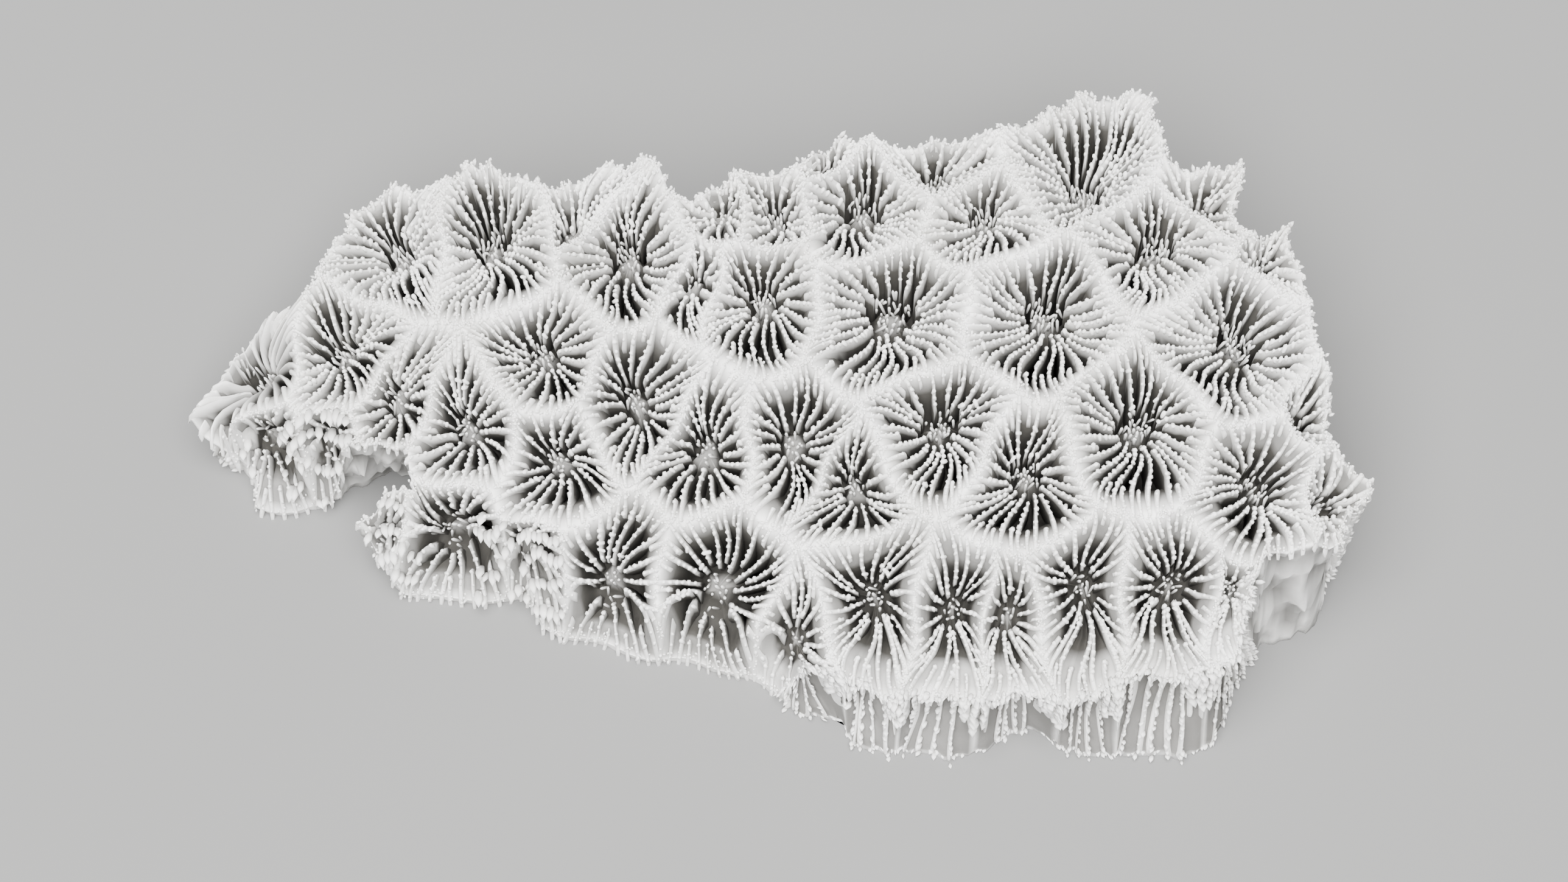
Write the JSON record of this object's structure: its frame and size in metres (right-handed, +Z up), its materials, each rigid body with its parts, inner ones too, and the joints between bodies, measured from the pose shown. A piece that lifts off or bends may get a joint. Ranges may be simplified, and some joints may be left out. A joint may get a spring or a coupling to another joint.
{
  "type": "moon coral",
  "caption": "Broken piece of a massive reef coral's white skeleton, its low domed top covered with deep star-ribbed cups, cut off flat underneath to rest on.",
  "frame": {"origin": "middle of the flat cut base, on the surface it rests on", "axes": "+X from the narrow tip towards the broad end, +Y from the broken front edge towards the back, +Z up out of the cut base towards the cups"},
  "size_m": [0.0974, 0.0526, 0.0218],
  "materials": {
    "bleached_skeleton": "chalky"
  },
  "bodies": {
    "root": {"coral_colony": "bleached_skeleton"}
  },
  "joints": []
}
